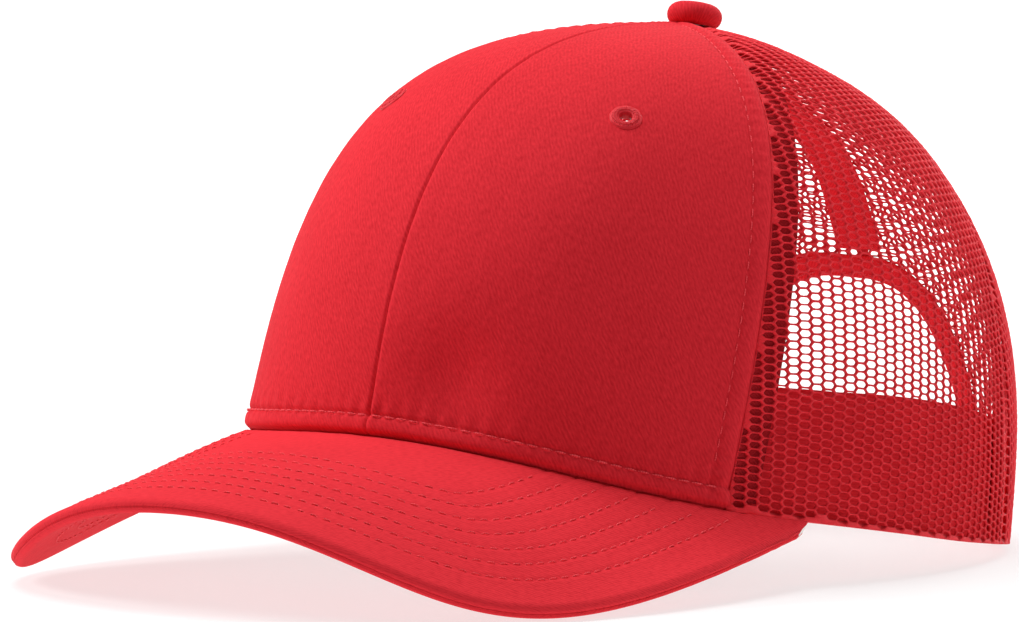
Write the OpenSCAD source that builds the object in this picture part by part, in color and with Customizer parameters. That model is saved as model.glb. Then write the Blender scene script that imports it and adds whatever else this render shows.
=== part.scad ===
// Trucker cap: stiffened twill front, mesh back, curved visor and an adjustable snap closure.
// Every curved piece is first drawn in the wearer's frame: X to the wearer's left, -Y forward,
// Z up, with the band's lowest edge at Z = 0. at_rest() then stands it on the visor and back edge.

/* [Head opening] */
// Half of the opening's length, front to back, at the bottom edge
half_length = 100.2; // [95:0.1:106]
// Half of the opening's width at the bottom edge
half_width = 84.1; // [79:0.1:89]
// How far the front edge rises above the edge at the ears
front_rise = 9.1; // [4:0.1:14]
// How far the back edge rises above the edge at the ears
back_rise = 5; // [2:0.1:8]
// How much higher the soft edge sits beside the wearer's right temple
right_lift = 9; // [0:0.1:10]

/* [Crown] */
// Height of the crown's top above the bottom edge
crown_height = 117.3; // [108:0.1:126]
// How far the top lies behind the middle of the opening
top_back = 9.5; // [4:0.1:14]
// Azimuth of the seam between twill and mesh at its two ends
front_seam_deg = 57.5; // [52:0.1:62]
// How far that seam swings backwards at mid height
seam_swing_deg = 10.7; // [4:0.1:14]
// Azimuth of the seam between the side and back mesh panels
back_seam_deg = 120; // [114:0.5:126]

/* [Materials] */
// Thickness of the twill shell
twill = 0.6; // [0.4:0.05:0.8]
// Thickness of the buckram that stiffens the front
buckram = 0.5; // [0.4:0.05:0.6]
// Thickness of the mesh
mesh = 1.0; // [0.6:0.05:1.1]
// Thickness of the seam tape
tape = 0.5; // [0.3:0.05:0.6]
// Width of the seam tape
tape_width = 13; // [9:0.5:16]
// Width of the tapes over the seams beside the front panels
front_tape_width = 15.5; // [9:0.5:18]
// Thickness of the folded sweatband
sweatband_thickness = 1.4; // [1:0.1:2]
// Height of the sweatband, as a share of the distance up to the top
sweatband_share = 0.13; // [0.1:0.005:0.15]

/* [Visor] */
// Distance from the middle of the opening to the visor's front edge
visor_reach = 170.4; // [160:0.1:178]
// Height of the visor's front edge at its middle
visor_front_z = -10.8; // [-16:0.1:-4]
// Azimuth at which the visor runs into the bottom edge
visor_root_deg = 71.8; // [64:0.1:76]
// Thickness of the visor's fabric, above and below
visor_cloth = 0.75; // [0.5:0.05:1]
// Thickness of the visor's board
visor_board_thickness = 2.3; // [1.4:0.1:2.6]
// How far the board stops short of the visor's edge
visor_margin = 1.6; // [1:0.1:3]

/* [Back opening] */
// Half of the opening's angle at the bottom edge
opening_half_deg = 22; // [20:0.5:26]
// How far the top of the arch leans to the wearer's right, in degrees of azimuth
opening_lean_deg = 3.5; // [0:0.5:5]
// How square the arch is; 2 is an ellipse
opening_power = 2.8; // [2:0.1:3.5]
// Height of the opening's arch, as a share of the distance up to the top
opening_share = 0.402; // [0.3:0.002:0.45]
// Width of the binding round the opening
binding_width = 7; // [5:0.5:9]

/* [Snap closure] */
// Height of a strap
strap_height = 20; // [16:0.5:22]
// Thickness of a strap
strap_thickness = 1.2; // [1:0.1:1.4]
// Distance between pegs, and between holes
snap_pitch = 6.9; // [6.8:0.1:7]
// Number of pegs, and of holes
snap_count = 6; // [5:1:6]
// Diameter of a hole
hole_diameter = 5.2; // [5:0.1:5.4]
// Diameter of a peg's head
peg_head_diameter = 3.7; // [3.6:0.1:4]
// Gap between the two straps
strap_gap = 0.4; // [0.35:0.05:0.6]

/* [Top button and eyelets] */
// Diameter of the covered button
button_diameter = 13.2; // [11:0.1:15]
// Height of the covered button above the top of the crown
button_height = 5.4; // [4.5:0.1:6.5]
// Diameter of the hole in an eyelet
eyelet_hole = 3; // [2.4:0.1:3.2]
// Diameter of the stitched ring round an eyelet
eyelet_ring = 7.8; // [7:0.1:9]

/* [Rest] */
// How far the cap tips back when it stands on its visor and back edge
rest_tilt = 8.88; // [8:0.01:10]

/* [Hidden] */

red = [0.80, 0.13, 0.16];
deep_red = [0.68, 0.09, 0.12];
plastic_red = [0.72, 0.10, 0.13];
board_white = [0.90, 0.89, 0.86];
steel = [0.72, 0.72, 0.74];

// Grid of every crown panel, from the bottom edge to the top, and the gap left round the shank
rows = 20;
panel_top = 0.985;
function row_share(k) = panel_top * k / rows;

// Depths of the layers below the crown's outer face
buckram_out = twill + 0.15;
buckram_in = buckram_out + buckram;
tape_out = buckram_in + 0.2;
tape_in = tape_out + tape;
tab_thickness = 0.7;
tab_out = tape_in + 0.55;
tab_in = tab_out + tab_thickness;
sweatband_out = tab_in + 0.1;
sweatband_in = sweatband_out + sweatband_thickness;

// ---- shape of the crown ----

function mix(a, b, w) = a + (b - a) * w;
function unit(p) = p / norm(p);
function signed(t) = t > 180 ? t - 360 : t < -180 ? t + 360 : t;

// One share for the front, one for the sides and one for the back, blended by azimuth
function blend(front, side, back, t) =
    side + (front - back) / 2 * cos(t) + ((front + back) / 2 - side) * pow(cos(t), 2);

// A smooth swell of height 1 round a middle
function swell(x, middle, width) = exp(-pow((x - middle) / width, 2));

// Height of the bottom edge: it rises at the front and at the back
rise_front_deg = 67.4;
rise_back_deg = 80;
function rim_z(t) = let (a = abs(signed(t)))
    front_rise * pow(cos(90 * min(a / rise_front_deg, 1)), 2)
    + back_rise * pow(cos(90 * min((180 - a) / rise_back_deg, 1)), 2)
    + right_lift * exp(-pow((signed(t) + 60) / 33, 2));

function rim(t) = [half_width * sin(t), -half_length * cos(t), rim_z(t)];

// The crown at azimuth t and share v of the way up: a cubic curve from the edge to the top, with
// squarer bottom corners at the back, a fuller upper back and a little slack at the right front
function crown(t, v) = let (
    edge = rim(t),
    p0 = pow(1 - v, 3), p1 = 3 * v * pow(1 - v, 2), p2 = 3 * v * v * (1 - v), p3 = pow(v, 3),
    wall_out = 1 + blend(-0.02, 0, 0.22, t),
    wall_up = blend(0.61, 0.78, 0.49, t),
    shoulder_out = blend(0.76, 0.69, 0.58, t),
    shoulder_up = 1 - blend(0.052, 0.05, 0.124, t),
    s = signed(t),
    corner = 0.037 * swell(abs(s), 127, 22) * pow(1 - v, 10),
    back = swell(abs(s), 180, 27) * (0.092 * swell(v, 0.68, 0.15)
        - 0.045 * swell(v, 0.26, 0.13) * min(v / 0.1, 1)),
    slack = 0.09 * v * (1 - v) * swell(s, -50, 35),
    reach = p0 + p1 * wall_out + p2 * shoulder_out + corner + back - slack,
    rise = p1 * wall_up + p2 * shoulder_up + p3)
    [reach * edge.x, top_back + reach * (edge.y - top_back),
     edge.z + rise * (crown_height - edge.z)];

function outward(t, v) =
    unit(cross(crown(t + 0.5, v) - crown(t - 0.5, v), crown(t, v + 0.004) - crown(t, v - 0.004)));

// A point d below the crown's outer face
function layer(t, v, d) = crown(t, v) - d * outward(t, v);

// Millimetres of crown per degree of azimuth
function per_degree(t, v) = norm(crown(t + 0.5, v) - crown(t - 0.5, v));

// The binding's width, in azimuth at the foot of the arch and in share at its top
binding_deg = binding_width / per_degree(155, 0);
binding_share = 0.042;

function seam_deg(v) = front_seam_deg + seam_swing_deg * 2 * v * (1 - v);

// Edge of the back opening: a squarish arch in azimuth and height, for a from 0 to 180, that leans
// a little to the wearer's right. grown is how far out from the edge, as a share of the binding.
function keen(x) = sign(x) * pow(abs(x), 2 / opening_power);
function arch_v(a, grown = 0) = (opening_share + grown * binding_share) * keen(sin(a));
function arch_deg(a, grown = 0) = 180 + opening_lean_deg * keen(sin(a))
    - (opening_half_deg + grown * binding_deg) * keen(cos(a));
// Where the arch meets the rear seam
arch_top_a = 90 - asin(pow(opening_lean_deg / opening_half_deg, opening_power / 2));

// ---- shape of the visor ----

// Half of the outline is one smooth curve from the front middle to the root
function root_point(side) = rim(side * visor_root_deg);
function visor_edge(s) = let (
    a = abs(s), b = 1 - a, side = s < 0 ? -1 : 1,
    q = [[0, -visor_reach, visor_front_z],
         [side * 62, -visor_reach, visor_front_z],
         [side * 65, -136.6, -41.7],
         [side * 98.5, -138, -30.8],
         root_point(side)])
    pow(b, 4) * q[0] + 4 * a * pow(b, 3) * q[1] + 6 * a * a * b * b * q[2]
    + 4 * pow(a, 3) * b * q[3] + pow(a, 4) * q[4];

// The visor between the crown's edge, w = 0, and its own edge, w = 1, a little domed on the right
visor_dome = 2.6;
function visor(s, w) = mix(rim(s * visor_root_deg), visor_edge(s), w)
    + [0, 0, visor_dome * 4 * w * (1 - w) * swell(s, -0.5, 0.45)];
function visor_up(s, w) = let (k = w < 0 ? 0 : w)
    -unit(cross(visor(s + 0.005, k) - visor(s - 0.005, k), visor(s, k + 0.01) - visor(s, k - 0.01)));

// The visor's cloth turns in under the crown by this much, and ends just short of its corners
visor_turn_in = 2.6;
visor_end = 0.983;
function visor_inner(s) = let (t = s * visor_root_deg, out = outward(t, 0))
    rim(t) - visor_turn_in * unit([out.x, out.y, 0]);

// Rows across the visor: 0 is the turned-in edge, 1 the crown's edge, visor_rows - 1 the end of
// the board, short of the outline by visor_margin, and visor_rows the outline
visor_rows = 9;
function visor_share(s, k) = k == visor_rows ? 1 : k == 0 ? 0
    : let (whole = norm(visor_edge(s) - rim(s * visor_root_deg)))
      (k - 1) / (visor_rows - 2) * (1 - min(visor_margin / whole, 0.5));
function visor_at(s, k, d) = let (w = visor_share(s, k))
    (k == 0 ? visor_inner(s) : visor(s, w)) - d * visor_up(s, w);

// ---- solids made from grids of points ----

// Closed sheet between two grids of (nu + 1) by (nv + 1) points, outer(i, j) facing outwards
module sheet(nu, nv, outer, inner) {
    grid = (nu + 1) * (nv + 1);
    function at(i, j, side) = side * grid + i * (nv + 1) + j;
    points = [for (side = [0, 1]) for (i = [0:nu]) for (j = [0:nv])
        side == 0 ? outer(i, j) : inner(i, j)];
    function quad(a, b, c, d) = [[a, b, c], [a, c, d]];
    faces = [
        for (i = [0:nu - 1]) for (j = [0:nv - 1]) each
            quad(at(i, j, 0), at(i, j + 1, 0), at(i + 1, j + 1, 0), at(i + 1, j, 0)),
        for (i = [0:nu - 1]) for (j = [0:nv - 1]) each
            quad(at(i, j, 1), at(i + 1, j, 1), at(i + 1, j + 1, 1), at(i, j + 1, 1)),
        for (i = [0:nu - 1]) each quad(at(i, 0, 0), at(i + 1, 0, 0), at(i + 1, 0, 1), at(i, 0, 1)),
        for (i = [0:nu - 1]) each quad(at(i, nv, 0), at(i, nv, 1), at(i + 1, nv, 1), at(i + 1, nv, 0)),
        for (j = [0:nv - 1]) each quad(at(0, j, 0), at(0, j, 1), at(0, j + 1, 1), at(0, j + 1, 0)),
        for (j = [0:nv - 1]) each quad(at(nu, j, 0), at(nu, j + 1, 0), at(nu, j + 1, 1), at(nu, j, 1))];
    polyhedron(points, faces);
}

// Mirrors a piece of the wearer's left to the right by counting its azimuth the other way.
// The raised right edge is kept, so the two sides aren't mirror images.
module crown_sheet(side, nu, nv, place, d_out, d_in) {
    function spot(i, j, d) = let (
        u = side > 0 ? i / nu : 1 - i / nu,
        p = place(u, j / nv))
        layer(side * p[0], p[1], d);
    sheet(nu, nv, function (i, j) spot(i, j, d_out), function (i, j) spot(i, j, d_in));
}

// Stands the cap on the visor's two lobes and the back edge, with the origin below its middle
function tipped(p) = [p.x, p.y * cos(rest_tilt) + p.z * sin(rest_tilt),
                      p.z * cos(rest_tilt) - p.y * sin(rest_tilt)];
visor_thickness = 2 * visor_cloth + visor_board_thickness;
lowest_visor = min([for (s = [0.5:0.01:0.9]) tipped(visor_at(s, visor_rows, visor_thickness)).z]);
lowest_back = min([for (t = [120:5:155]) tipped(crown(t, 0)).z]);
frontmost = tipped([0, -visor_reach, visor_front_z]).y;
backmost = max([for (a = [0:3:90]) tipped(crown(arch_deg(a), arch_v(a))).y,
    for (t = [140:3:155]) for (v = [0:0.05:0.5]) tipped(crown(t, v)).y]);
rest_lift = -min(lowest_visor, lowest_back);
rest_shift = -(frontmost + backmost) / 2;

module at_rest() {
    translate([0, rest_shift, rest_lift]) rotate([-rest_tilt, 0, 0]) children();
}

// Stands a piece that is drawn along +Z on the crown, pointing outwards, d below the outer face
module on_crown(t, v, d) {
    out = outward(t, v);
    translate(layer(t, v, d))
        rotate([0, 0, atan2(out.y, out.x)]) rotate([0, acos(out.z), 0]) children();
}

// ---- crown panels ----

function front_place(u, v) = [seam_deg(v * panel_top) * u, v * panel_top];
function side_place(u, v) = [mix(seam_deg(v * panel_top), back_seam_deg, u), v * panel_top];

// The back panel's columns run from the opening's arch out to the back seam, and then to the top
top_columns = 6;
back_columns = rows + top_columns;
function back_place(side, u, w) = let (
    a = u * (side > 0 ? arch_top_a : 180 - arch_top_a),
    arch_t = side > 0 ? arch_deg(a) : 360 - arch_deg(180 - a),
    k = u * back_columns,
    far_t = mix(back_seam_deg, 180, max(k - rows, 0) / top_columns))
    [mix(arch_t, far_t, w), mix(arch_v(a), row_share(min(k, rows)), w)];

eyelet_deg = 34;
eyelet_v = 0.517;

module eyelet_drill(side) {
    on_crown(side * eyelet_deg, eyelet_v, 6) cylinder(h = 12, r = eyelet_hole / 2 + 0.45, $fn = 32);
}

module front_panel(side) {
    color(red) at_rest() difference() {
        crown_sheet(side, 14, rows, function (u, v) front_place(u, v), 0, twill);
        eyelet_drill(side);
    }
}

module front_panel_left() { front_panel(1); }
module front_panel_right() { front_panel(-1); }

// The buckram starts above the hem and stops short of the seams, on the rows of the twill
module front_buckram(side) {
    color(board_white) at_rest() difference() {
        crown_sheet(side, 14, rows - 2, function (u, v) let (h = row_share(1 + v * (rows - 2)))
            [seam_deg(h) * mix(0.012, 0.975, u), h], buckram_out, buckram_in);
        eyelet_drill(side);
    }
}

module front_buckram_left() { front_buckram(1); }
module front_buckram_right() { front_buckram(-1); }

module side_mesh(side) {
    color(red) at_rest()
        crown_sheet(side, 14, rows, function (u, v) side_place(u, v), 0, mesh);
}

module side_mesh_left() { side_mesh(1); }
module side_mesh_right() { side_mesh(-1); }

module back_mesh(side) {
    color(red) at_rest()
        crown_sheet(side, back_columns, 12, function (u, w) back_place(side, u, w), 0, mesh);
}

module back_mesh_left() { back_mesh(1); }
module back_mesh_right() { back_mesh(-1); }

// ---- tapes, binding and sweatband ----

// Tape of constant width along a seam, pinched where the six seams meet at the top
pinch_deg = 24;
module seam_tape(seam, low, width = tape_width) {
    first = ceil(low / row_share(1) + 0.01);
    count = rows - first;
    function tape_v(j) = j == 0 ? low : row_share(first + j - 1);
    color(deep_red) at_rest()
        sheet(2, count,
            function (i, j) let (v = tape_v(j)) tape_point(seam(v), v, i, tape_out, width),
            function (i, j) let (v = tape_v(j)) tape_point(seam(v), v, i, tape_in, width));
}
function tape_point(t, v, i, d, width) =
    layer(t + (i - 1) * min(width / 2 / per_degree(t, v), pinch_deg), v, d);

module centre_seam_tape() { seam_tape(function (v) 0, 0.01); }
module front_seam_tape_left() { seam_tape(function (v) seam_deg(v), 0.01, front_tape_width); }
module front_seam_tape_right() { seam_tape(function (v) -seam_deg(v), 0.01, front_tape_width); }
module back_seam_tape_left() { seam_tape(function (v) back_seam_deg, 0.01); }
module back_seam_tape_right() { seam_tape(function (v) -back_seam_deg, 0.01); }
module rear_seam_tape() { seam_tape(function (v) 180, opening_share + 0.055); }

// Binding along the opening: its outer border is the same arch, wider and higher
module opening_binding() {
    function spot(a, k, d) = layer(arch_deg(a, k), arch_v(a, k), d);
    color(deep_red) at_rest()
        sheet(48, 2, function (i, j) spot(180 * i / 48, 1 - j / 2, tape_out),
            function (i, j) spot(180 * i / 48, 1 - j / 2, tape_in));
}

module sweatband() {
    half_turn = 180 - opening_half_deg;
    color(red) at_rest()
        sheet(72, 4,
            function (i, j) layer(mix(-half_turn, half_turn, i / 72), sweatband_share * j / 4, sweatband_out),
            function (i, j) layer(mix(-half_turn, half_turn, i / 72), sweatband_share * j / 4, sweatband_in));
}

// ---- visor ----

// One layer of the visor between two depths, with the outer row drawn to its own depths
module visor_layer(last, d_top, d_bottom, lip_top, lip_bottom) {
    steps = 36;
    function s_of(i) = mix(-visor_end, visor_end, i / steps);
    at_rest()
        sheet(steps, last,
            function (i, j) visor_at(s_of(i), last - j, j == 0 ? lip_top : d_top),
            function (i, j) visor_at(s_of(i), last - j, j == 0 ? lip_bottom : d_bottom));
}

visor_middle = visor_thickness / 2;
module visor_top_fabric() {
    color(red) visor_layer(visor_rows, 0, visor_cloth, 0.5, visor_middle);
}
module visor_board() {
    top = visor_cloth + 0.03;
    color(board_white) visor_layer(visor_rows - 1, top, visor_thickness - top, top + 0.3,
        visor_thickness - top - 0.3);
}
module visor_under_fabric() {
    color(red) visor_layer(visor_rows, visor_thickness - visor_cloth, visor_thickness,
        visor_middle + 0.02, visor_thickness - 0.5);
}

// ---- top button ----

// The button leans back a little with the top of the crown
button_lean = 3;
module at_top() {
    at_rest() translate([0, top_back, crown_height]) rotate([-button_lean, 0, 0]) children();
}

button_edge = 2.5;
button_foot = 0.3;
cover_cloth = 0.6;
module button_outline(inset) {
    r = button_diameter / 2 - inset;
    top = button_height - inset;
    edge = button_edge - inset;
    // Slightly domed top, rounded shoulder and a foot that turns under
    intersection() {
        translate([0, -button_foot]) square([r, top + button_foot]);
        union() {
            translate([0, -button_foot]) square([r - edge, top + button_foot - 0.8]);
            translate([0, -button_foot + 0.6]) square([r, top + button_foot - 0.6 - edge]);
            translate([r - edge, top - edge]) circle(r = edge, $fn = 48);
            translate([r - 0.9, -button_foot + 0.9]) circle(r = 0.9, $fn = 32);
            intersection() {
                translate([0, top - 30]) circle(r = 30, $fn = 180);
                square([r - edge + 0.6, top + 1]);
            }
        }
    }
}

module button_cover() {
    color(red) at_top() rotate_extrude($fn = 64) difference() {
        button_outline(0);
        translate([0, -cover_cloth]) button_outline(cover_cloth);
        translate([-0.01, -button_foot - 0.01]) square([4.5, 1]);
    }
}

shank_radius = 1.4;
module button_shell() {
    color(steel) at_top() difference() {
        rotate_extrude($fn = 64) difference() {
            translate([0, -cover_cloth]) button_outline(cover_cloth + 0.02);
            translate([-0.01, -button_foot - 1]) square([button_diameter, 1.2 + cover_cloth]);
        }
        translate([0, 0, -3]) cylinder(h = 5.2, r = shank_radius + 0.05, $fn = 32);
    }
}

tack_depth = 3.2;
module button_tack() {
    color(steel) at_top() {
        translate([0, 0, -tack_depth - 0.8]) cylinder(h = 0.8, r = 6, $fn = 48);
        translate([0, 0, -tack_depth - 0.1]) cylinder(h = tack_depth + 2.1, r = shank_radius, $fn = 32);
    }
}

// ---- eyelets ----

// Stitched ring: a low round collar on both faces, joined by a sleeve through the hole
module eyelet(side) {
    hole = eyelet_hole / 2;
    ring = eyelet_ring / 2;
    collar = 0.45;
    inside = -buckram_in - 0.35 - collar;
    color(deep_red) at_rest() on_crown(side * eyelet_deg, eyelet_v, 0) rotate_extrude($fn = 48) {
        translate([hole, inside]) square([0.43, 0.06 - inside]);
        for (z = [0.06, inside])
            translate([hole, z]) square([ring - hole - collar / 2, collar]);
        for (z = [0.06, inside])
            translate([ring - collar / 2, z + collar / 2]) circle(r = collar / 2, $fn = 24);
    }
}

module eyelet_left() { eyelet(1); }
module eyelet_right() { eyelet(-1); }

// ---- snap closure ----

// Each strap leaves its tab beside the opening, bends round the head and then runs straight, so
// that the snapped pegs are parallel. The strap frame leans out with the wall of the crown.
strap_root_deg = 160.5;
strap_middle_v = 0.065;
strap_lean = 7;
root = layer(strap_root_deg, strap_middle_v, (tab_out + tab_in) / 2);
root_out = outward(strap_root_deg, strap_middle_v);
root_turn = atan2(root_out.x, root_out.y);
hole_strap_drop = 2.8;
peg_strap_drop = hole_strap_drop - strap_thickness - strap_gap;
strap_tip = 1.5 * snap_pitch + 4.4;
tab_length = 12;
tab_gap = 0.3;
bead = strap_thickness / 2 + 0.06;
joint_overlap = 0.2;

// Origin at the middle of the opening, level with the roots and the straps' mid height
module strap_frame() {
    at_rest() translate([0, root.y, root.z]) rotate([-strap_lean, 0, 0])
        translate([0, 0, -strap_height / 2]) children();
}

function bend_radius(drop) = drop / (1 - cos(root_turn));
function bend_run(drop) = bend_radius(drop) * sin(root_turn);
function strap_bend_x(drop) = root.x - bend_run(drop);

// Strap whose root is at +X: a straight plate with a round tip, then a bend down to the root
module strap_plate(drop) {
    bend_x = strap_bend_x(drop);
    radius = bend_radius(drop);
    corner = 4;
    translate([0, drop + strap_thickness / 2, 0]) rotate([90, 0, 0])
        linear_extrude(strap_thickness) {
            translate([corner - strap_tip, 0])
                square([bend_x + joint_overlap + strap_tip - corner, strap_height]);
            translate([-strap_tip, corner]) square([corner, strap_height - 2 * corner]);
            for (z = [corner, strap_height - corner])
                translate([corner - strap_tip, z]) circle(r = corner, $fn = 48);
        }
    translate([bend_x, drop - radius, 0]) rotate([0, 0, 90 - root_turn])
        rotate_extrude(angle = root_turn, $fn = 180)
            translate([radius - strap_thickness / 2, 0]) square([strap_thickness, strap_height]);
    translate([root.x, 0, 0]) cylinder(h = strap_height, r = bead, $fn = 32);
}

// Puts a piece drawn along +Y on the strap at distance s from the middle of the closure
module on_strap(s, drop) {
    bend_x = strap_bend_x(drop);
    radius = bend_radius(drop);
    turn = s > bend_x ? (s - bend_x) / radius * 180 / PI : 0;
    if (s > bend_x)
        translate([bend_x + radius * sin(turn), drop - radius * (1 - cos(turn)), strap_height / 2])
            rotate([0, 0, -turn]) children();
    else
        translate([s, drop, strap_height / 2]) children();
}

function snap_s(i) = (i - 1.5) * snap_pitch;

module hole_strap() {
    color(plastic_red) strap_frame() mirror([1, 0, 0]) difference() {
        strap_plate(hole_strap_drop);
        for (i = [0:snap_count - 1])
            on_strap(snap_s(i), hole_strap_drop) rotate([90, 0, 0])
                cylinder(h = 6, r = hole_diameter / 2, center = true, $fn = 48);
    }
}

// A peg: a post with a rounded head, standing on the strap's outer face
peg_post_radius = peg_head_diameter / 2 - 0.35;
peg_reach = 2.4;
peg_head = 1;
module peg() {
    rotate([-90, 0, 0]) {
        cylinder(h = peg_reach - peg_head + 0.1 + strap_thickness / 2, r = peg_post_radius, $fn = 32);
        translate([0, 0, peg_reach - peg_head + strap_thickness / 2]) rotate_extrude($fn = 32) {
            square([peg_head_diameter / 2 - 0.4, peg_head]);
            square([peg_head_diameter / 2, peg_head - 0.4]);
            translate([peg_head_diameter / 2 - 0.4, peg_head - 0.4]) circle(r = 0.4, $fn = 24);
        }
    }
}

module peg_strap() {
    color(plastic_red) strap_frame() {
        strap_plate(peg_strap_drop);
        for (i = [0:snap_count - 1]) on_strap(snap_s(i), peg_strap_drop) peg();
    }
}

// Sewn tab that carries on from the root, along the wall between the mesh and the sweatband
module strap_tab(side) {
    first_deg = strap_root_deg - (bead + tab_gap) / per_degree(strap_root_deg, strap_middle_v);
    last_deg = first_deg - tab_length / per_degree(strap_root_deg, strap_middle_v);
    share_per_mm = 0.07 / norm(crown(first_deg, 0.1) - crown(first_deg, 0.03));
    half = strap_height / 2 * share_per_mm;
    color(plastic_red) at_rest() crown_sheet(side, 6, 6,
        function (u, v) [mix(last_deg, first_deg, u), strap_middle_v + mix(-half, half, v)],
        tab_out, tab_in);
}

module peg_strap_tab() { strap_tab(1); }
module hole_strap_tab() { strap_tab(-1); }

front_panel_left();
front_panel_right();
front_buckram_left();
front_buckram_right();
side_mesh_left();
side_mesh_right();
back_mesh_left();
back_mesh_right();
centre_seam_tape();
front_seam_tape_left();
front_seam_tape_right();
back_seam_tape_left();
back_seam_tape_right();
rear_seam_tape();
sweatband();
opening_binding();
visor_top_fabric();
visor_board();
visor_under_fabric();
button_cover();
button_shell();
button_tack();
eyelet_left();
eyelet_right();
peg_strap();
peg_strap_tab();
hole_strap();
hole_strap_tab();
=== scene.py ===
"""Looks for the mesh-backed cap: sewn twill, knitted net, stitched visor, tapes, sweatband and lights.

Every soft piece is drawn in the wearer's frame, in millimetres, with the shape that part.scad uses
(X to the wearer's left, -Y forward, Z up), and place() stands it in the row frame, in metres.
Azimuth t is in degrees, 0 at the front middle; share v runs from the crown's lower edge to its top.
"""

import math

import bpy
import numpy as np
from mathutils import Matrix, Vector


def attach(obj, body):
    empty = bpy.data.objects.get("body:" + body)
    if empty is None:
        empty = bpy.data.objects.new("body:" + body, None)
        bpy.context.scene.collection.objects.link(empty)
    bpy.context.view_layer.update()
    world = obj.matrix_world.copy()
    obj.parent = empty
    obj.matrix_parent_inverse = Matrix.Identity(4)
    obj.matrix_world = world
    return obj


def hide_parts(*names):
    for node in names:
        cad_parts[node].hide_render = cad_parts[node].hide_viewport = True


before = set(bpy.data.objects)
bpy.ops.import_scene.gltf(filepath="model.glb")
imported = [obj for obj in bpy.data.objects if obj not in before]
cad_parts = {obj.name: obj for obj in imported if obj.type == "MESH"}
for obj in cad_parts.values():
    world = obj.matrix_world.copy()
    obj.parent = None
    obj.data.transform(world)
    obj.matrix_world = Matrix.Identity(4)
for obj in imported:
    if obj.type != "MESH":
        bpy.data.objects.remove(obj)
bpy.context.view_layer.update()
rng = np.random.default_rng(11)

# ---- the shape, as in part.scad ----

HALF_LENGTH, HALF_WIDTH = 100.2, 84.1
FRONT_RISE, BACK_RISE, RIGHT_LIFT = 9.1, 5.0, 9.0
CROWN_HEIGHT, TOP_BACK = 117.3, 9.5
FRONT_SEAM, SEAM_SWING, BACK_SEAM = 57.5, 10.7, 120.0
PANEL_TOP = 0.985
VISOR_REACH, VISOR_FRONT_Z, VISOR_ROOT = 170.4, -10.8, 71.8
VISOR_END, VISOR_TURN_IN, VISOR_THICKNESS, VISOR_CLOTH = 0.983, 2.6, 3.8, 0.75
ARCH_HALF, ARCH_SHARE, ARCH_POWER, ARCH_LEAN = 22.0, 0.402, 2.8, 3.5
REST_TILT, REST_SHIFT, REST_LIFT = math.radians(8.88), 35.0043, 10.26924
TWILL, NET = 0.6, 1.0
BUCKRAM_OUT, BUCKRAM_IN = 0.75, 1.25
TAPE_OUT, TAPE_IN = 1.45, 1.95
TAPE_WIDTH, FRONT_TAPE_WIDTH, BINDING_WIDTH = 13.0, 15.5, 7
TAPE_LOW, REAR_TAPE_LOW, TAPE_TOP = 0.01, 0.457, 0.935
BAND_OUT, BAND_IN, BAND_SHARE = 3.3, 4.7, 0.13
EYELET_T, EYELET_V = 34.0, 0.517


def bump(x, middle, width):
    return np.exp(-(((x - middle) / width) ** 2))


def rim(t):
    """The crown's lower edge."""
    s = (t + 180) % 360 - 180
    a = np.abs(s)
    z = (
        FRONT_RISE * np.cos(np.radians(90 * np.minimum(a / 67.4, 1))) ** 2
        + BACK_RISE * np.cos(np.radians(90 * np.minimum((180 - a) / 80, 1))) ** 2
        + RIGHT_LIFT * np.exp(-(((s + 60) / 33) ** 2))
    )
    r = np.radians(t)
    return np.stack([HALF_WIDTH * np.sin(r), -HALF_LENGTH * np.cos(r), z], -1)


def by_azimuth(front, side, back, t):
    c = np.cos(np.radians(t))
    return side + (front - back) / 2 * c + ((front + back) / 2 - side) * c * c


def crown(t, v):
    t, v = np.broadcast_arrays(np.asarray(t, float), np.asarray(v, float))
    e = rim(t)
    p0, p1, p2, p3 = (1 - v) ** 3, 3 * v * (1 - v) ** 2, 3 * v * v * (1 - v), v**3
    s = (t + 180) % 360 - 180
    a = np.abs(s)
    reach = (
        p0
        + p1 * (1 + by_azimuth(-0.02, 0, 0.22, t))
        + p2 * by_azimuth(0.76, 0.69, 0.58, t)
        - 0.09 * v * (1 - v) * bump(s, -50, 35)
        + 0.037 * bump(a, 127, 22) * (1 - v) ** 10
        + bump(a, 180, 27)
        * (0.092 * bump(v, 0.68, 0.15) - 0.045 * bump(v, 0.26, 0.13) * np.minimum(v / 0.1, 1))
    )
    rise = (
        p1 * by_azimuth(0.61, 0.78, 0.49, t)
        + p2 * (1 - by_azimuth(0.052, 0.05, 0.124, t))
        + p3
    )
    return np.stack(
        [
            reach * e[..., 0],
            TOP_BACK + reach * (e[..., 1] - TOP_BACK),
            e[..., 2] + rise * (CROWN_HEIGHT - e[..., 2]),
        ],
        -1,
    )


def unit(p):
    return p / np.maximum(np.linalg.norm(p, axis=-1, keepdims=True), 1e-12)


def outward(t, v):
    return unit(
        np.cross(crown(t + 0.5, v) - crown(t - 0.5, v), crown(t, v + 0.004) - crown(t, v - 0.004))
    )


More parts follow.
